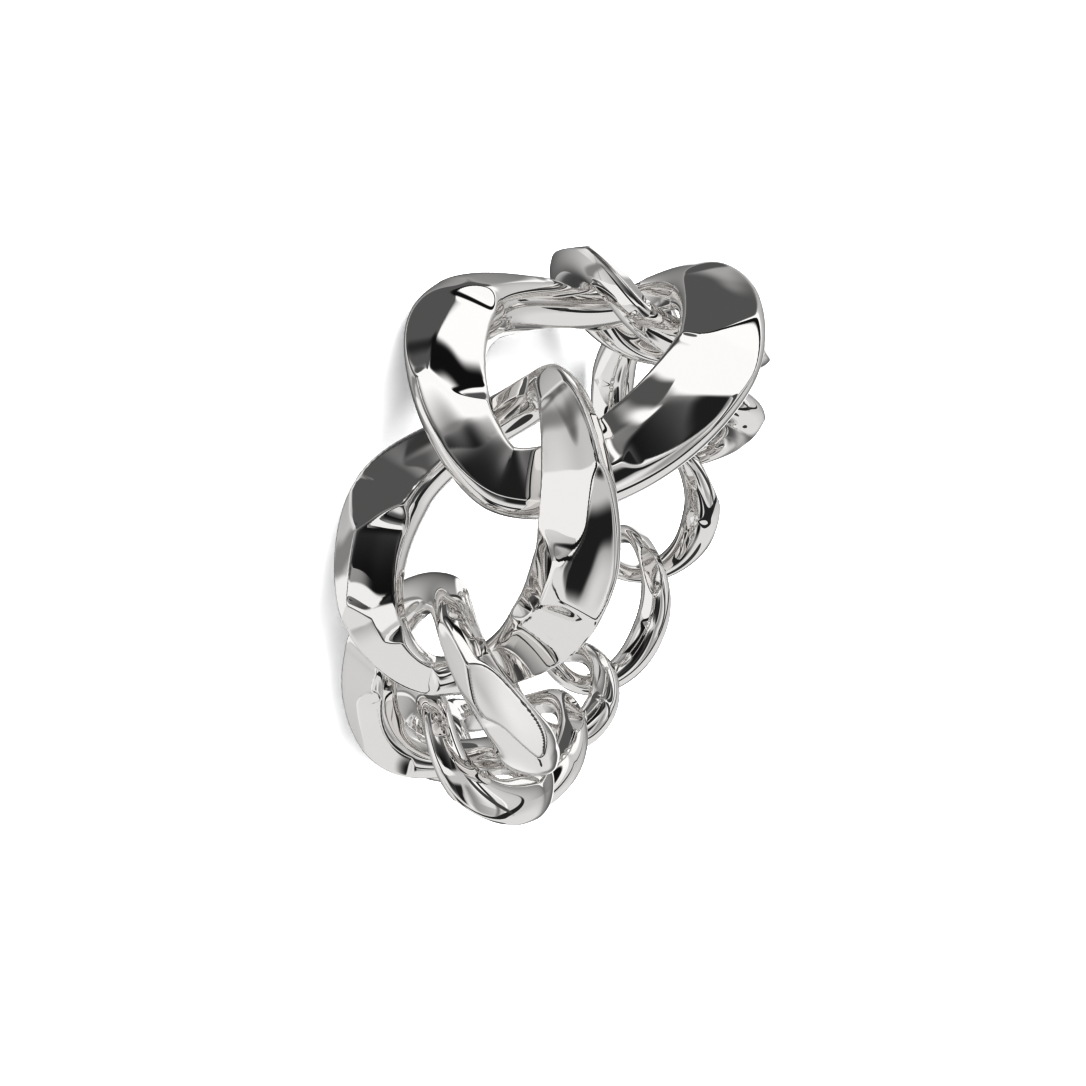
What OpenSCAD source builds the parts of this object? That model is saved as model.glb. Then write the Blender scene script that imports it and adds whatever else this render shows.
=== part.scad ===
// Chain link ring: ten heavy links of a graduated curb chain, closed into a finger band.
// The ring lies on its side. The finger goes through it from above, and the largest link is in front.
// Every link is one solid that hangs in its two neighbours with link_gap around it.
// Sizes are in millimetres and angles in degrees.

/* [Ring] */
// Width across the finger hole
finger_hole = 18.2; // [17.8:0.1:18.6]
// Width of the largest link, along the finger
band_width = 13.3; // [13:0.1:13.5]
// Length of the largest link, along the chain
top_length = 16.8; // [16.6:0.1:17]
// Lean of the finger axis back from upright, as the ring lies on its largest link
rest_lean = 7.1; // [6.5:0.1:7.5]
// Lean of the finger axis to the left as the ring lies
side_lean = 0.2; // [-0.5:0.1:0.5]

/* [Wire] */
// Width of the largest link's side, seen from outside
wire_width = 3.35; // [3.1:0.05:3.4]
// Height of the largest link's side, away from the finger
wire_height = 2.9; // [2.6:0.05:2.95]
// Space kept free around a link where it passes its neighbours
link_gap = 0.1; // [0.1:0.01:0.2]
// Share of the wire's height that is on the finger's side
inner_share = 0.62; // [0.6:0.01:0.64]
// Squareness of the wire's section, 1 for an oval
corner_power = 0.85; // [0.84:0.01:1]

/* [Shape] */
// Share of a link's length that is bent around the finger
bend_share = 0.59; // [0.57:0.01:0.61]
// Roll of the wire's section at a link's two sides
side_roll = 11; // [9:0.5:12]
// Roll of the wire's section at a link's two ends
end_roll = 1; // [0:0.5:2]
// How far the twist is kept for a link's ends, 1 for an even twist
twist_power = 1.25; // [1.2:0.01:1.3]
// Depth of the flat cuts as a share of the depths in the table
cut_share = 1; // [0.5:0.05:1.1]

/* [Mesh] */
// Number of flats around the wire of the largest link
wire_flats = 16; // [12:1:17]
// Number of steps around the largest link
link_steps = 52; // [44:1:56]

/* [Hidden] */

// Columns of SIZES. Width is a share of band_width, length of top_length, side of wire_width
// and height of wire_height. Twist is at the link's ends and lift is away from the finger.
// End width and end height are shares of the side's, and oval is the power of the link's outline.
// Mesh is a share of wire_flats and of link_steps. The last row is the second right link, which is
// slighter than the second left one.
WIDTH = 0;
LENGTH = 1;
SIDE = 2;
HEIGHT = 3;
TWIST = 4;
LIFT = 5;
END_WIDTH = 6;
END_HEIGHT = 7;
OVAL = 8;
MESH = 9;
SIZES = [
  [1.00, 1.00, 1.00, 1.00, 37, 0.1, 0.70, 0.57, 1.64, 1.00],
  [0.83, 0.76, 0.90, 0.88, 47, 0.6, 0.46, 0.71, 1.74, 0.92],
  [0.73, 0.55, 0.69, 0.74, 49, 0.9, 0.56, 0.70, 2.14, 0.80],
  [0.62, 0.58, 0.59, 0.65, 46, 0.6, 0.56, 0.69, 2.14, 0.70],
  [0.58, 0.58, 0.54, 0.62, 45, 0.4, 0.58, 0.69, 2.14, 0.66],
  [0.53, 0.37, 0.52, 0.60, 44, 0.5, 0.58, 0.69, 2.14, 0.64],
  [0.82, 0.71, 0.69, 0.67, 31, 0.9, 0.45, 0.73, 1.63, 0.92],
];

// Columns of LINKS. Size is the row in SIZES and place is the angle round the ring from the top
// link. Turn is about the line out of the finger, tip along the chain and nod across the finger.
// Shift is along the finger.
SIZE = 0;
PLACE = 1;
TURN = 2;
TIP = 3;
NOD = 4;
SHIFT = 5;
LINKS = [
  [0, 0.5, 3.3, -3, -0.4, 0.3],
  [1, 47.2, 0.3, -9.3, -2, 0.5],
  [2, 81.7, 4.1, -8.7, 3.1, 0.8],
  [3, 114.4, 0.3, -4.2, 3.8, 0.5],
  [4, 151, 0, 0, 0, 0],
  [5, 180, 0, 0, 0, 0],
  [4, 209, 0, 0, 0, 0],
  [3, 244.6, -0.4, 2.8, -2.7, 0.2],
  [2, 277.8, -6.9, 5.9, -3, 0.4],
  [6, 315, 7, 4, 3.7, 0.2],
];

// How soon a cut ends beyond its reach, as an angle round the link.
CUT_END = 20;
// The cuts stop at this distance from the middle of the wire.
CORE = 0.4;

// Columns of CUTS, the flats cut by hand. Nth is how many links away from the top link, counted
// either way round. Around is the angle round the link from its upper side, and across is the
// angle round the wire from the link's rim, with 90 away from the finger. Depth is taken off at
// the middle of the flat. Bulge is the radius of the flat's own slight curve, left by polishing.
// Reach is half the flat's length, as an angle round the link.
NTH = 0;
AROUND = 1;
ACROSS = 2;
DEPTH = 3;
BULGE = 4;
REACH = 5;
CUTS = [
  // largest link, left side from the near end of the chain to the far end
  [0, 169, 119, 0.12, 35, 18],
  [0, 209, 74, 0.29, 21, 15],
  [0, 213, 119, 0.47, 37, 20],
  [0, 236, 85, 0.25, 20, 20],
  [0, 267, 100, 0.22, 37, 20],
  // largest link, right side
  [0, 336, 122, 0.24, 14, 20],
  [0, 342, 71, 0.20, 25, 22],
  [0, 356, 80, 0.37, 19, 20],
  [0, 25, 92, 0.40, 37, 20],
  [0, 113, 105, 0.43, 16, 11],
  // second links, left side
  [1, 170, 106, 0.49, 27, 20],
  [1, 205, 47, 0.36, 14, 19],
  [1, 217, 118, 0.40, 16, 20],
  [1, 243, 76, 0.50, 26, 20],
  // second links, right side
  [1, 328, 72, 0.37, 24, 13],
  [1, 353, 145, 0.32, 45, 10],
  [1, 3, 43, 0.34, 12, 20],
  [1, 34, 81, 0.37, 13, 21],
  [1, 62, 74, 0.13, 60, 16],
  [1, 113, 114, 0.07, 13, 18],
  // third links
  [2, 184, 92, 0.50, 33, 39],
  [2, 220, 78, 0.50, 36, 20],
  [2, 359, 73, 0.13, 18, 21],
  [2, 27, 10, 0.50, 26, 20],
  [2, 51, 50, 0.22, 9, 32],
  // fourth links
  [3, 202, 65, 0.44, 7, 11],
  [3, 318, 61, 0.15, 18, 23],
  [3, 348, 129, 0.04, 5, 27],
  [3, 14, 95, 0.40, 16, 28],
  // fifth links
  [4, 188, 67, 0.46, 6, 20],
  [4, 15, 53, 0.05, 22, 10],
  // smallest link
  [5, 205, 39, 0.33, 60, 24],
  [5, 19, 57, 0.04, 10, 15],
];

function signed_power(value, power) = sign(value) * pow(abs(value), power);

function unit(v) = v / norm(v);

// Actual sizes of one link, in the columns of SIZES.
function sizes_of(k) =
  let(r = SIZES[LINKS[k][SIZE]])
  [band_width * r[WIDTH], top_length * r[LENGTH], wire_width * r[SIDE], wire_height * r[HEIGHT],
   r[TWIST], r[LIFT], r[END_WIDTH], r[END_HEIGHT], r[OVAL], r[MESH]];

// Reach of the outline in the direction at angle around, 1 for an ellipse.
function outline_reach(s, around) =
  pow(pow(abs(cos(around)), s[OVAL]) + pow(abs(sin(around)), s[OVAL]), -1 / s[OVAL]);

// Half the outline's width and length, measured to the middle of the wire.
function half_outline(s) = [(s[WIDTH] - s[SIDE]) / 2, (s[LENGTH] - s[SIDE] * s[END_WIDTH]) / 2];

// Share of the side's section that the wire has here: 1 at a side and 0 at an end.
function side_share(s, around) = pow(abs(cos(around)) * outline_reach(s, around), s[OVAL]);

// Middle of the wire in the link's own flat outline.
function outline_point(s, around) =
  let(h = half_outline(s), r = outline_reach(s, around))
  [h[0] * cos(around) * r, h[1] * sin(around) * r];

// Direction in the outline that leaves the link's opening.
function outline_out(s, around) =
  let(h = half_outline(s), r = outline_reach(s, around), p = s[OVAL] - 1)
  unit([signed_power(cos(around) * r, p) / h[0], signed_power(sin(around) * r, p) / h[1]]);

// Offset from the middle of the wire to its skin: out of the opening, and away from the finger.
function section_offset(s, around, across) =
  let(share = side_share(s, around),
      wide = s[SIDE] * (s[END_WIDTH] + (1 - s[END_WIDTH]) * share) - link_gap,
      high = s[HEIGHT] * (s[END_HEIGHT] + (1 - s[END_HEIGHT]) * share) - link_gap,
      out = wide / 2 * signed_power(cos(across), corner_power),
      part = sin(across) > 0 ? 1 - inner_share : inner_share,
      up = high * part * signed_power(sin(across), corner_power),
      roll = side_roll * share + end_roll * (1 - share))
  [out * cos(roll) + up * sin(roll), up * cos(roll) - out * sin(roll)];

// Twist of the link about its long axis, growing towards its two ends.
function twisted(s, p) =
  let(a = s[TWIST] * signed_power(max(-1, min(1, p[1] / s[LENGTH] * 2)), twist_power))
  [p[0] * cos(a) - p[2] * sin(a), p[1], p[0] * sin(a) + p[2] * cos(a)];

// The link's own small turns and its shift along the finger.
function turned(k, p) =
  let(a = LINKS[k][TURN], b = LINKS[k][TIP], c = LINKS[k][NOD],
      q = [p[0] * cos(a) - p[1] * sin(a), p[0] * sin(a) + p[1] * cos(a), p[2]],
      w = [q[0] * cos(b) + q[2] * sin(b), q[1], q[2] * cos(b) - q[0] * sin(b)])
  [w[0] + LINKS[k][SHIFT], w[1] * cos(c) - w[2] * sin(c), w[1] * sin(c) + w[2] * cos(c)];

// Bend around the finger. The result is along the finger, along the chain and out from the axis.
function bent(s, p) =
  let(middle = finger_hole / 2 + s[HEIGHT] * inner_share + s[LIFT],
      a = bend_share * p[1] / middle * 180 / PI,
      rest = (1 - bend_share) * p[1],
      along = (middle + p[2]) * sin(a) + rest * cos(a),
      out = (middle + p[2]) * cos(a) - rest * sin(a),
      reach = max(1, finger_hole / 2 / norm([along, out])))
  [p[0], along * reach, out * reach];

// Place in the ring, with the finger axis along Z and the top link in front.
function in_ring(k, p) =
  let(a = 270 + LINKS[k][PLACE])
  [p[2] * cos(a) + p[1] * sin(a), p[2] * sin(a) - p[1] * cos(a), p[0]];

function wire_middle(k, s, around) =
  let(m = outline_point(s, around))
  in_ring(k, bent(s, turned(k, twisted(s, [m[0], m[1], 0]))));

function skin_point(k, s, around, across) =
  let(m = outline_point(s, around), n = outline_out(s, around), o = section_offset(s, around, across))
  in_ring(k, bent(s, turned(k, twisted(s, [m[0] + n[0] * o[0], m[1] + n[1] * o[0], o[1]]))));

// One flat cut as its middle point, its outward direction, its angle round the link, its bulge and
// its reach.
function cut_plane(k, s, cut) =
  let(p = skin_point(k, s, cut[AROUND], cut[ACROSS]),
      u = skin_point(k, s, cut[AROUND] + 2, cut[ACROSS]) - skin_point(k, s, cut[AROUND] - 2, cut[ACROSS]),
      v = skin_point(k, s, cut[AROUND], cut[ACROSS] + 4) - skin_point(k, s, cut[AROUND], cut[ACROSS] - 4),
      n = unit(cross(u, v)))
  [p - n * cut[DEPTH] * cut_share, n, cut[AROUND], cut[BULGE], cut[REACH]];

// How many links away from the top link, counted the shorter way round.
function from_top(k) = min(k, len(LINKS) - k);

function turn_between(a, b) = abs((a - b + 540) % 360 - 180);

// Room that a cut leaves outside its plane, growing away from the cut's own length of wire.
function run_out(around, cut_around, reach) =
  pow(max(0, turn_between(around, cut_around) - reach) / CUT_END, 2);

// Share of the way from the middle of the wire to the skin that the cuts leave.
function left_by_cuts(middle, skin, around, planes) =
  min([1, for (c = planes)
    let(way = c[1] * (skin - middle), off = skin - c[0], aside = off * off - pow(off * c[1], 2),
        room = max(CORE, c[1] * (c[0] - middle) + run_out(around, c[2], c[4]) - aside / (2 * c[3])))
    if (way > room) room / way]);

function link_points(k) =
  let(s = sizes_of(k),
      steps = round(link_steps * s[MESH] / 2) * 2,
      flats = round(wire_flats * s[MESH] / 2) * 2,
      planes = [for (cut = CUTS) if (cut[NTH] == from_top(k)) cut_plane(k, s, cut)])
  [for (i = [0:steps - 1])
    let(around = 360 * i / steps, middle = wire_middle(k, s, around))
    [for (j = [0:flats - 1])
      let(p = skin_point(k, s, around, 360 * j / flats))
      middle + (p - middle) * left_by_cuts(middle, p, around, planes)]];

// All links as rows of points, before the ring is laid down.
RING_POINTS = [for (k = [0:len(LINKS) - 1]) link_points(k)];

function laid(p) =
  let(y = p[1] * cos(rest_lean) + p[2] * sin(rest_lean),
      z = p[2] * cos(rest_lean) - p[1] * sin(rest_lean))
  [p[0] * cos(side_lean) - z * sin(side_lean), y, p[0] * sin(side_lean) + z * cos(side_lean)];

LAID_POINTS = [for (rows = RING_POINTS) [for (row = rows) [for (p = row) laid(p)]]];
ALL_POINTS = [for (rows = LAID_POINTS) for (row = rows) for (p = row) p];
LOW = [for (a = [0:2]) min([for (p = ALL_POINTS) p[a]])];
HIGH = [for (a = [0:2]) max([for (p = ALL_POINTS) p[a]])];
// The middle of the ring's footprint, at the height of what it lies on.
FOOT = [(LOW[0] + HIGH[0]) / 2, (LOW[1] + HIGH[1]) / 2, LOW[2]];

// One link as a closed skin of triangles.
module link(k) {
  rows = LAID_POINTS[k];
  steps = len(rows);
  flats = len(rows[0]);
  points = [for (row = rows) for (p = row) p - FOOT];
  faces = [for (i = [0:steps - 1]) for (j = [0:flats - 1]) for (half = [0, 1])
    let(a = i * flats + j, b = i * flats + (j + 1) % flats,
        c = ((i + 1) % steps) * flats + (j + 1) % flats, d = ((i + 1) % steps) * flats + j)
    half == 0 ? [a, b, c] : [a, c, d]];
  polyhedron(points = points, faces = faces, convexity = 8);
}

module link_top() {
  color("gainsboro") link(0);
}

module link_left_2() {
  color("silver") link(1);
}

module link_left_3() {
  color("gainsboro") link(2);
}

module link_left_4() {
  color("silver") link(3);
}

module link_left_5() {
  color("gainsboro") link(4);
}

module link_base() {
  color("silver") link(5);
}

module link_right_5() {
  color("gainsboro") link(6);
}

module link_right_4() {
  color("silver") link(7);
}

module link_right_3() {
  color("gainsboro") link(8);
}

module link_right_2() {
  color("silver") link(9);
}

link_top();
link_left_2();
link_left_3();
link_left_4();
link_left_5();
link_base();
link_right_5();
link_right_4();
link_right_3();
link_right_2();
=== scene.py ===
"""Chain link ring: ten heavy links of a graduated curb chain, closed into a finger band.

The ring lies on its side on a pale floor. The finger would go through it from above, and the
largest link is in front. Each link is one smooth closed surface, worked out by the same sizes and
formulas as its solid, but much finer, with the ridges between its flats softened as polishing does.
Lengths in the tables are in millimetres and angles in degrees; the scene itself is in metres.
"""
import math

import bpy
import numpy as np
from mathutils import Matrix, Vector


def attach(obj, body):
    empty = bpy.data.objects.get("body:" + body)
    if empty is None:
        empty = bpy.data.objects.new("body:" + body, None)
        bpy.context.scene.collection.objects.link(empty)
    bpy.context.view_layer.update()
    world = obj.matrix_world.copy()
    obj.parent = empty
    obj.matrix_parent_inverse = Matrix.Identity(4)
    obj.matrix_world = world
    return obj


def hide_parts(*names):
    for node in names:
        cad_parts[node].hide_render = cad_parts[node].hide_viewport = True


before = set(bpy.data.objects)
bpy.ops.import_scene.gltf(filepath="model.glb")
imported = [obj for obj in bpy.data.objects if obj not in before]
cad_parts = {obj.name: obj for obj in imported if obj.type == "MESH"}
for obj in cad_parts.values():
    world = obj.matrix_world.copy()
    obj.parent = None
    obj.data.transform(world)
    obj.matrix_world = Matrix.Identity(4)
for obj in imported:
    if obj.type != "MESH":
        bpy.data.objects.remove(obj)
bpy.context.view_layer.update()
MM = 0.001

# ---------------------------------------------------------------- camera
# The photograph's angle to the ring. The picture's upright is turned so that the ring stands in the
# picture as it is photographed, while it lies on the floor of the scene.
CAMERA_AT = (30.251, -29.770, 23.048)
CAMERA_LOOKS = (-0.64319, 0.64678, -0.40985)
CAMERA_UPRIGHT = (-0.59348, -0.75931, -0.26689)
# Focal length and sensor width in millimetres
CAMERA_LENS = 34.295
CAMERA_SENSOR = 36.0


def make_camera():
    """Camera at its place; its axes are the view direction, the upright and their cross product."""
    data = bpy.data.cameras.new("camera")
    data.lens, data.sensor_width = CAMERA_LENS, CAMERA_SENSOR
    data.clip_start, data.clip_end = 0.001, 10.0
    camera = bpy.data.objects.new("camera", data)
    bpy.context.scene.collection.objects.link(camera)
    back = -Vector(CAMERA_LOOKS).normalized()
    up = (Vector(CAMERA_UPRIGHT) - back * back.dot(Vector(CAMERA_UPRIGHT))).normalized()
    side = up.cross(back)
    turn = Matrix((side, up, back)).transposed()
    camera.matrix_world = Matrix.Translation(Vector(CAMERA_AT) * MM) @ turn.to_4x4()
    bpy.context.scene.camera = camera


make_camera()

# ---------------------------------------------------------------- sizes, as in the part's source
# Width across the finger hole, and width and length of the largest link
FINGER_HOLE = 18.2
BAND_WIDTH = 13.3
TOP_LENGTH = 16.8
# Lean of the finger axis as the ring lies, back and to the left
REST_LEAN = 7.1
SIDE_LEAN = 0.2
# Width and height of the largest link's side, and the space kept free around each link
WIRE_WIDTH = 3.35
WIRE_HEIGHT = 2.9
LINK_GAP = 0.1
# Share of the wire's height on the finger's side, and squareness of its section, 1 for an oval
INNER_SHARE = 0.62
CORNER_POWER = 0.85
# Share of a link's length that is bent around the finger
BEND_SHARE = 0.59
# Roll of the wire's section at a link's sides and at its ends
SIDE_ROLL = 11.0
END_ROLL = 1.0
# How far the twist is kept for a link's ends, 1 for an even twist
TWIST_POWER = 1.25
# How soon a flat ends beyond its reach
CUT_END = 20.0
# How far to either side of a flat's middle the skin's direction is measured, in radians round the
# link and round the wire
STEP_AROUND, STEP_ACROSS = 0.035, 0.07
# Middle of the ring's footprint, in the frame where the finger axis runs through the origin
FOOT = (0.0072, -0.1225, -4.9131)

NODES = ("link_top", "link_left_2", "link_left_3", "link_left_4", "link_left_5", "link_base",
         "link_right_5", "link_right_4", "link_right_3", "link_right_2")

# A row for each kind of link, the last one for the second right link. Width is a share of
# BAND_WIDTH, length of TOP_LENGTH, side of WIRE_WIDTH and height of WIRE_HEIGHT. Then come the twist
# at the ends, the lift away from the finger, the width and height at the ends as shares of the
# side's, the power of the outline, and the skin's steps round the link and across the wire.
SIZES = (
    (1.00, 1.00, 1.00, 1.00, 37, 0.1, 0.70, 0.57, 1.64, 600, 160),
    (0.83, 0.76, 0.90, 0.88, 47, 0.6, 0.46, 0.71, 1.74, 440, 128),
    (0.73, 0.55, 0.69, 0.74, 49, 0.9, 0.56, 0.70, 2.14, 320, 96),
    (0.62, 0.58, 0.59, 0.65, 46, 0.6, 0.56, 0.69, 2.14, 260, 80),
    (0.58, 0.58, 0.54, 0.62, 45, 0.4, 0.58, 0.69, 2.14, 220, 72),
    (0.53, 0.37, 0.52, 0.60, 44, 0.5, 0.58, 0.69, 2.14, 200, 72),
    (0.82, 0.71, 0.69, 0.67, 31, 0.9, 0.45, 0.73, 1.63, 440, 128),
)
# Each link's row in SIZES, its place as an angle round the ring from the top link, its turn about
# the line out of the finger, tip along the chain, nod across the finger, and shift along the finger
LINKS = (
    (0, 0.5, 3.3, -3, -0.4, 0.3),
    (1, 47.2, 0.3, -9.3, -2, 0.5),
    (2, 81.7, 4.1, -8.7, 3.1, 0.8),
    (3, 114.4, 0.3, -4.2, 3.8, 0.5),
    (4, 151, 0, 0, 0, 0),
    (5, 180, 0, 0, 0, 0),
    (4, 209, 0, 0, 0, 0),
    (3, 244.6, -0.4, 2.8, -2.7, 0.2),
    (2, 277.8, -6.9, 5.9, -3, 0.4),
    (6, 315, 7, 4, 3.7, 0.2),
)
# The flats cut by hand: how many links away from the top link, either way round, the angle round
# the link, the angle round the wire, the depth, the radius of the flat's own bulge, and its reach
CUTS = (
    (0, 169, 119, 0.12, 35, 18), (0, 209, 74, 0.29, 21, 15), (0, 213, 119, 0.47, 37, 20),
    (0, 236, 85, 0.25, 20, 20), (0, 267, 100, 0.22, 37, 20), (0, 336, 122, 0.24, 14, 20),
    (0, 342, 71, 0.20, 25, 22), (0, 356, 80, 0.37, 19, 20), (0, 25, 92, 0.40, 37, 20),
    (0, 113, 105, 0.43, 16, 11),
    (1, 170, 106, 0.49, 27, 20), (1, 205, 47, 0.36, 14, 19), (1, 217, 118, 0.40, 16, 20),
    (1, 243, 76, 0.50, 26, 20), (1, 328, 72, 0.37, 24, 13), (1, 353, 145, 0.32, 45, 10),
    (1, 3, 43, 0.34, 12, 20), (1, 34, 81, 0.37, 13, 21), (1, 62, 74, 0.13, 60, 16),
    (1, 113, 114, 0.07, 13, 18),
    (2, 184, 92, 0.50, 33, 39), (2, 220, 78, 0.50, 36, 20), (2, 359, 73, 0.13, 18, 21),
    (2, 27, 10, 0.50, 26, 20), (2, 51, 50, 0.22, 9, 32),
    (3, 202, 65, 0.44, 7, 11), (3, 318, 61, 0.15, 18, 23), (3, 348, 129, 0.04, 5, 27),
    (3, 14, 95, 0.40, 16, 28),
    (4, 188, 67, 0.46, 6, 20), (4, 15, 53, 0.05, 22, 10),
    (5, 205, 39, 0.33, 60, 24), (5, 19, 57, 0.04, 10, 15),
)
# The flats stop at this distance from the middle of the wire
CORE = 0.4
# How crisp the polished ridges are: higher is sharper
RIDGE = 45.0


def signed_power(value, power):
    """Sign of the value times its size to the power."""
    return np.sign(value) * np.abs(value) ** power


class Link:
    """One link's own sizes and the steps from its flat outline to its place in the ring."""

    def __init__(self, k):
        size, self.place, self.turn, self.tip, self.nod, self.shift = LINKS[k]
        (width, length, side, height, self.twist, self.lift, self.end_width, self.end_height,
         self.oval, self.steps, self.across) = SIZES[size]
        self.from_top = min(k, len(LINKS) - k)
        self.length = TOP_LENGTH * length
        self.side, self.height = WIRE_WIDTH * side, WIRE_HEIGHT * height
        self.half_width = (BAND_WIDTH * width - self.side) / 2
        self.half_length = (self.length - self.side * self.end_width) / 2

    def reach(self, a):
        """Reach of the outline at angle a: the superellipse (|cos|^n + |sin|^n)^(-1/n)."""
        return (np.abs(np.cos(a)) ** self.oval + np.abs(np.sin(a)) ** self.oval) ** (-1 / self.oval)

    def in_ring(self, x, y, z):
        """Twists the link about its length, gives it its small turns, bends it round the finger and
        turns it to its place in the ring. The bend is an arc for BEND_SHARE of the length and
        straight for the rest, and no point comes nearer to the finger axis than the hole's wall."""
        t = np.radians(self.twist) * signed_power(np.clip(y / self.length * 2, -1, 1), TWIST_POWER)
        x, z = x * np.cos(t) - z * np.sin(t), x * np.sin(t) + z * np.cos(t)
        a, b, c = np.radians((self.turn, self.tip, self.nod))
        x, y = x * np.cos(a) - y * np.sin(a), x * np.sin(a) + y * np.cos(a)
        x, z = x * np.cos(b) + z * np.sin(b), z * np.cos(b) - x * np.sin(b)
        y, z = y * np.cos(c) - z * np.sin(c), y * np.sin(c) + z * np.cos(c)
        x = x + self.shift
        hole = FINGER_HOLE / 2
        middle = hole + self.height * INNER_SHARE + self.lift
        t, rest = BEND_SHARE * y / middle, (1 - BEND_SHARE) * y
        along = (middle + z) * np.sin(t) + rest * np.cos(t)
        out = (middle + z) * np.cos(t) - rest * np.sin(t)
        grow = np.maximum(1, hole / np.hypot(along, out))
        along, out = along * grow, out * grow
        q = math.radians(270 + self.place)
        return np.stack([out * math.cos(q) + along * math.sin(q),
                         out * math.sin(q) - along * math.cos(q), x + 0 * along], -1)

    def middle(self, a):
        """Middle of the wire at angle a round the link."""
        r = self.reach(a)
        return self.in_ring(self.half_width * np.cos(a) * r, self.half_length * np.sin(a) * r, 0 * a)

    def skin(self, a, c):
        """Skin of the wire: the section is an oval of CORNER_POWER, wider and higher at the link's
        sides than at its ends, rolled a little, and set square to the outline."""
        a, c = np.broadcast_arrays(a, c)
        r = self.reach(a)
        nx = signed_power(np.cos(a) * r, self.oval - 1) / self.half_width
        ny = signed_power(np.sin(a) * r, self.oval - 1) / self.half_length
        n = np.hypot(nx, ny)
        share = (np.abs(np.cos(a)) * r) ** self.oval
        wide = self.side * (self.end_width + (1 - self.end_width) * share) - LINK_GAP
        high = self.height * (self.end_height + (1 - self.end_height) * share) - LINK_GAP
        out = wide / 2 * signed_power(np.cos(c), CORNER_POWER)
        deep = np.where(np.sin(c) > 0, 1 - INNER_SHARE, INNER_SHARE)
        up = high * deep * signed_power(np.sin(c), CORNER_POWER)
        roll = np.radians(SIDE_ROLL * share + END_ROLL * (1 - share))
        out, up = out * np.cos(roll) + up * np.sin(roll), up * np.cos(roll) - out * np.sin(roll)
        return self.in_ring(self.half_width * np.cos(a) * r + nx / n * out,
                            self.half_length * np.sin(a) * r + ny / n * out, up)

    def planes(self):
        """Each flat of this link as its middle, its outward direction, its angle round the link, the
        radius of its bulge and its reach."""
        for nth, around, across, depth, bulge, reach in CUTS:
            if nth == self.from_top:
                a, c = np.radians(around), np.radians(across)
                along = self.skin(a + STEP_AROUND, c) - self.skin(a - STEP_AROUND, c)
                over = self.skin(a, c + STEP_ACROSS) - self.skin(a, c - STEP_ACROSS)
                n = np.cross(along, over)
                n /= np.linalg.norm(n)
                yield self.skin(a, c) - n * depth, n, around, bulge, reach

    def surface(self, coarser=1):
        """Grid of skin points. Along the line from the wire's middle to the skin, each flat leaves a
        share of the way; the shares are joined by a soft minimum, which rounds the ridges. Coarser
        is how many times fewer steps there are each way."""
        steps, across = self.steps // coarser, self.across // coarser
        a = (np.arange(steps) / steps * 2 * np.pi)[:, None]
        c = (np.arange(across) / across * 2 * np.pi)[None]
        middle = self.middle(a)
        way = self.skin(a, c) - middle
        load = np.ones(way.shape[:2])
        for point, n, around, bulge, reach in self.planes():
            turn = np.abs((np.degrees(a) - around + 540) % 360 - 180)
            off = middle + way - point
            aside = np.einsum("ijk,ijk->ij", off, off) - (off @ n) ** 2
            room = ((point - middle) @ n + (np.maximum(0, turn - reach) / CUT_END) ** 2
                    - aside / (2 * bulge))
            load += np.maximum(way @ n / np.maximum(room, CORE), 0) ** RIDGE
        return middle + way * (load ** (-1 / RIDGE))[..., None]


def laid(p):
    """Leans the ring as it rests, about the cross axis and then about the front axis, and puts the
    middle of its footprint at the origin."""
    a, b = math.radians(REST_LEAN), math.radians(SIDE_LEAN)
    x, y, z = p[..., 0], p[..., 1], p[..., 2]
    y, z = y * math.cos(a) + z * math.sin(a), z * math.cos(a) - y * math.sin(a)
    x, z = x * math.cos(b) - z * math.sin(b), x * math.sin(b) + z * math.cos(b)
    return np.stack([x, y, z], -1) - np.array(FOOT)


def closed_skin(name, points):
    """Mesh of a grid that closes on itself both ways: quads in rows, all smooth, facing outward."""
    steps, across = points.shape[:2]
    i, j = np.meshgrid(np.arange(steps), np.arange(across), indexing="ij")
    i1, j1 = (i + 1) % steps, (j + 1) % across
    quads = np.stack([i * across + j, i1 * across + j, i1 * across + j1, i * across + j1], -1)
    quads = quads.reshape(-1, 4)
    corners = points.reshape(-1, 3)
    a, b, c, d = (corners[quads[:, n]] for n in range(4))
    if np.einsum("ij,ij->", a, np.cross(b - a, c - a) + np.cross(c - a, d - a)) < 0:
        quads = quads[:, ::-1]
    mesh = bpy.data.meshes.new(name)
    mesh.vertices.add(len(corners))
    mesh.vertices.foreach_set("co", corners.astype(np.float32).ravel())
    mesh.loops.add(quads.size)
    mesh.loops.foreach_set("vertex_index", quads.astype(np.int32).ravel())
    mesh.polygons.add(len(quads))
    mesh.polygons.foreach_set("loop_start", np.arange(0, quads.size, 4, dtype=np.int32))
    mesh.polygons.foreach_set("use_smooth", np.ones(len(quads), bool))
    mesh.update(calc_edges=True)
    mesh.validate()
    piece = bpy.data.objects.new(name, mesh)
    bpy.context.scene.collection.objects.link(piece)
    return piece


# ---------------------------------------------------------------- materials
SILVER_COLOUR = "F7F6F5"
FLOOR_COLOUR = "FAFAFA"
WHITE = (1.0, 1.0, 1.0, 1.0)


def linear(colour):
    """sRGB hex to linear: the lower part by 12.92, the rest by the 2.4 power."""
    v = np.array([int(colour[n:n + 2], 16) / 255 for n in (0, 2, 4)])
    return (*np.where(v <= 0.04045, v / 12.92, ((v + 0.055) / 1.055) ** 2.4).tolist(), 1.0)


def socket(key):
    """A socket's label with spaces for underscores, or its number if the key is an n and a number."""
    return int(key[1:]) if key[0] == "n" and key[1:].isdigit() else key.replace("_", " ")


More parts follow.
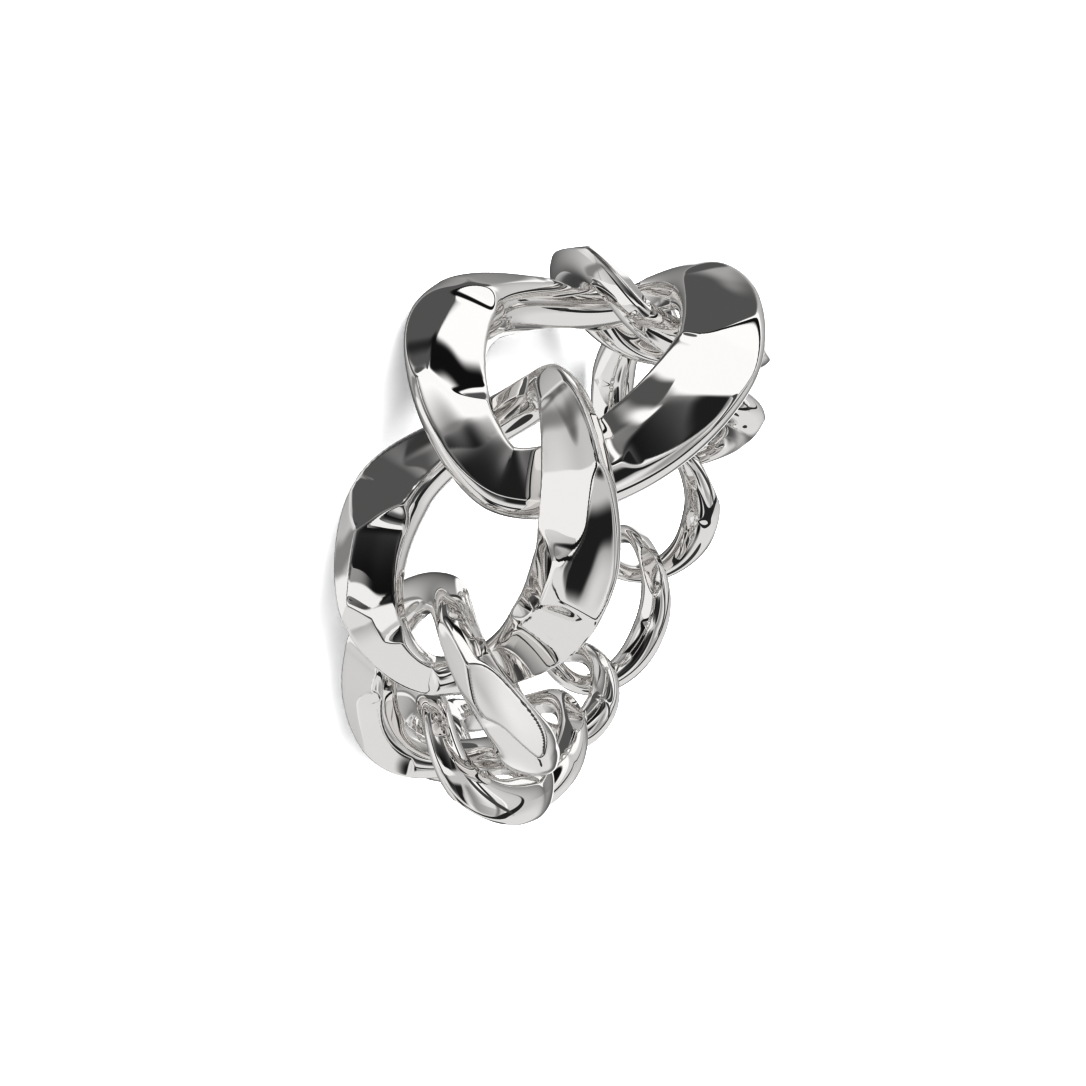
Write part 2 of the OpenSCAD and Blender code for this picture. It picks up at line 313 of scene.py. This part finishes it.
def node(tree, kind, settings=None, **links):
    """Adds a node, sets its properties and unlinked sockets, and links the named sockets."""
    new = tree.nodes.new(kind)
    for key, value in (settings or {}).items():
        if hasattr(new, key):
            setattr(new, key, value)
        else:
            new.inputs[socket(key)].default_value = value
    for key, source in links.items():
        tree.links.new(source, new.inputs[socket(key)])
    return new


def new_material(name):
    """Material with an empty node tree; gives both."""
    material = bpy.data.materials.new(name)
    material.use_nodes = True
    material.node_tree.nodes.clear()
    return material, material.node_tree


def polished_silver():
    """Sterling silver, cast and hand-polished: a near-white mirror with a slight warmth that grows
    where links reflect each other, fine polishing haze, and flats that are not quite plane."""
    material, tree = new_material("polished sterling silver")
    place = node(tree, "ShaderNodeTexCoord").outputs["Object"]
    # The hand's slow waves in the flats, about 3 mm apart
    waves = node(tree, "ShaderNodeTexNoise", {"Scale": 330.0, "Detail": 1.0, "Roughness": 0.4},
                 Vector=place)
    # Polishing haze in soft patches about 1.5 mm across
    haze = node(tree, "ShaderNodeTexNoise", {"Scale": 650.0, "Detail": 3.0}, Vector=place)
    rough = node(tree, "ShaderNodeMapRange",
                 {"From_Min": 0.35, "From_Max": 0.7, "To_Min": 0.018, "To_Max": 0.045},
                 Value=haze.outputs["Fac"])
    bump = node(tree, "ShaderNodeBump", {"Strength": 0.10, "Distance": 0.0004},
                Height=waves.outputs["Fac"])
    shader = node(tree, "ShaderNodeBsdfPrincipled",
                  {"Base_Color": linear(SILVER_COLOUR), "Metallic": 1.0},
                  Roughness=rough.outputs["Result"], Normal=bump.outputs["Normal"])
    node(tree, "ShaderNodeOutputMaterial", Surface=shader.outputs["BSDF"])
    return material


def pale_floor():
    """Matt white card: plain, with no gloss."""
    material, tree = new_material("matt white card")
    shader = node(tree, "ShaderNodeBsdfDiffuse", {"Color": linear(FLOOR_COLOUR)})
    node(tree, "ShaderNodeOutputMaterial", Surface=shader.outputs["BSDF"])
    return material


# ---------------------------------------------------------------- the links
SILVER = polished_silver()
for k, name in enumerate(NODES):
    points = Link(k).surface(coarser=1)
    piece = closed_skin("skin_of_" + name, laid(points) * MM)
    piece.data.materials.append(SILVER)
    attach(piece, "root")
    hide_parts(name)

# ---------------------------------------------------------------- floor and light
# Soft cards of the studio as they show in the metal: azimuth from the front towards +X, elevation,
# half width, half height, turn about the card's middle, softness of its rim, and brightness
CARDS = (
    (41, 22, 65, 39, 46, 0.87, 0.03),
    (-141, -24, 64, 51, 152, 0.84, 0.14),
    (-118, -13, 13, 40, 86, 0.08, 0.74),
    (123, 2, 79, 9, 170, 0.82, 0.76),
    (145, 24, 7, 80, 34, 0.68, 0.76),
    (53, 49, 67, 6, 3, 0.25, 0.06),
    (138, 18, 39, 88, 116, 0.09, 0.63),
    (-35, 13, 29, 85, 3, 0.14, 0.76),
    (118, 9, 8, 10, 125, 0.61, 0.03),
    (35, 51, 29, 9, 126, 0.35, 0.54),
    (-32, -31, 27, 38, 81, 0.05, 0.19),
    (136, -83, 69, 4, 33, 0.47, 0.33),
    (58, -27, 12, 74, 17, 0.03, 0.7),
    (162, 24, 10, 12, 78, 0.05, 0.11),
    (-48, 28, 71, 4, 105, 0.31, 0.03),
    (-20, 22, 10, 59, 0, 0.12, 0.75),
    (142, 50, 4, 83, 131, 0.04, 0.07),
    (53, -9, 49, 4, 69, 0.21, 0.04),
    (-37, 75, 5, 41, 42, 0.15, 0.14),
    (6, -11, 16, 4, 74, 0.48, 0.76),
)
# Brightness of the walls between the cards
BASE_LIGHT = 0.74
# Brightness of the backdrop as the camera sees it
BACKDROP = 1.0
# How bright the lit floor is, and the share of its light that comes from the lamp
FLOOR_LIGHT = 1.8
LAMP_SHARE = 0.50
# The lamp's azimuth and elevation, like a card's, and how wide it is as seen from the ring
LAMP_FROM = (5, 32)
LAMP_WIDE = 60
FLOOR_WHITE = linear(FLOOR_COLOUR)[0]
ROUND_LIGHT = (1 - LAMP_SHARE) * FLOOR_LIGHT / FLOOR_WHITE
# Half the floor's width, in metres
FLOOR_HALF = 3.0


def direction(azimuth, elevation):
    """Unit vector from the ring: azimuth from the front towards +X, elevation from the floor."""
    a, e = math.radians(azimuth), math.radians(elevation)
    return Vector((math.sin(a) * math.cos(e), -math.cos(a) * math.cos(e), math.sin(e)))


def card_mask(tree, way, azimuth, elevation, wide, high, turn, soft):
    """One card: an oval on the sky, found from the direction turned into the card's own frame. It is
    1 inside, falls to 0 over its soft rim, and is 0 on the other half of the sky."""
    out = direction(azimuth, elevation)
    rise = (Vector((0, 0, 1)) - out * out.z).normalized()
    flank = rise.cross(out)
    t = math.radians(turn)
    axes = ((flank * math.cos(t) + rise * math.sin(t)) / math.sin(math.radians(wide)),
            (rise * math.cos(t) - flank * math.sin(t)) / math.sin(math.radians(high)), out)
    x, y, z = (node(tree, "ShaderNodeVectorMath", {"operation": "DOT_PRODUCT", "n1": tuple(axis)},
                    n0=way).outputs["Value"] for axis in axes)
    flat = node(tree, "ShaderNodeCombineXYZ", X=x, Y=y)
    far = node(tree, "ShaderNodeVectorMath", {"operation": "LENGTH"}, n0=flat.outputs[0])
    oval = node(tree, "ShaderNodeMapRange",
                {"interpolation_type": "SMOOTHSTEP", "From_Min": 1 + soft, "From_Max": 1 - soft,
                 "To_Min": 0.0, "To_Max": 1.0}, Value=far.outputs["Value"])
    front = node(tree, "ShaderNodeMath", {"operation": "GREATER_THAN", "n1": 0.0}, n0=z)
    return node(tree, "ShaderNodeMath", {"operation": "MULTIPLY"},
                n0=oval.outputs[0], n1=front.outputs[0]).outputs[0]


def studio():
    """Light from all round: the floor is lit evenly, the camera sees a plain backdrop, and the metal
    sees bright walls with dark and bright cards, laid over each other in the table's order."""
    world = bpy.data.worlds.new("studio")
    bpy.context.scene.world = world
    world.use_nodes = True
    tree = world.node_tree
    tree.nodes.clear()
    way = node(tree, "ShaderNodeTexCoord").outputs["Generated"]
    level = node(tree, "ShaderNodeValue").outputs[0]
    level.default_value = BASE_LIGHT
    for *card, bright in CARDS:
        mask = card_mask(tree, way, *card)
        level = node(tree, "ShaderNodeMix", {"data_type": "FLOAT", "n3": bright},
                     n0=mask, n2=level).outputs[0]
    path = node(tree, "ShaderNodeLightPath").outputs
    seen = node(tree, "ShaderNodeBackground", {"Color": WHITE, "Strength": BACKDROP})
    round_about = node(tree, "ShaderNodeBackground", {"Color": WHITE, "Strength": ROUND_LIGHT})
    shown = node(tree, "ShaderNodeBackground", {"Color": WHITE}, Strength=level)
    still = node(tree, "ShaderNodeMixShader",
                 n0=path["Is Camera Ray"], n1=round_about.outputs[0], n2=seen.outputs[0])
    both = node(tree, "ShaderNodeMixShader",
                n0=path["Is Glossy Ray"], n1=still.outputs[0], n2=shown.outputs[0])
    node(tree, "ShaderNodeOutputWorld", Surface=both.outputs[0])


def big_lamp():
    """One lamp, so wide that the floor's shadow has no edge. The floor's light is the lamp's part,
    which is its strength times the cosine over pi, and the light from all round."""
    data = bpy.data.lights.new("soft lamp", "SUN")
    lamp = bpy.data.objects.new("soft lamp", data)
    bpy.context.scene.collection.objects.link(lamp)
    way = direction(*LAMP_FROM)
    lamp.rotation_euler = way.to_track_quat("Z", "Y").to_euler()
    data.angle = math.radians(LAMP_WIDE)
    data.energy = LAMP_SHARE * FLOOR_LIGHT / FLOOR_WHITE * math.pi / way.z
    lamp.visible_glossy = False


def lay_floor():
    """Plain square floor under the ring, left out of the metal's reflections, which show the studio."""
    mesh = bpy.data.meshes.new("floor")
    corners = [(x * FLOOR_HALF, y * FLOOR_HALF, 0) for x, y in ((-1, -1), (1, -1), (1, 1), (-1, 1))]
    mesh.from_pydata(corners, [], [(0, 1, 2, 3)])
    floor = bpy.data.objects.new("floor", mesh)
    bpy.context.scene.collection.objects.link(floor)
    mesh.materials.append(pale_floor())
    floor.visible_glossy = False


studio()
big_lamp()
lay_floor()
scene = bpy.context.scene
scene.view_settings.view_transform = "Standard"
scene.view_settings.look = "None"
# The camera's tone: a little brighter and with much more contrast, as in the photograph
scene.view_settings.exposure = 0.5
scene.view_settings.gamma = 0.54
# Links mirror each other many times over; the light they throw on the floor is left out
scene.cycles.glossy_bounces = 10
scene.cycles.max_bounces = 12
scene.cycles.caustics_reflective = False
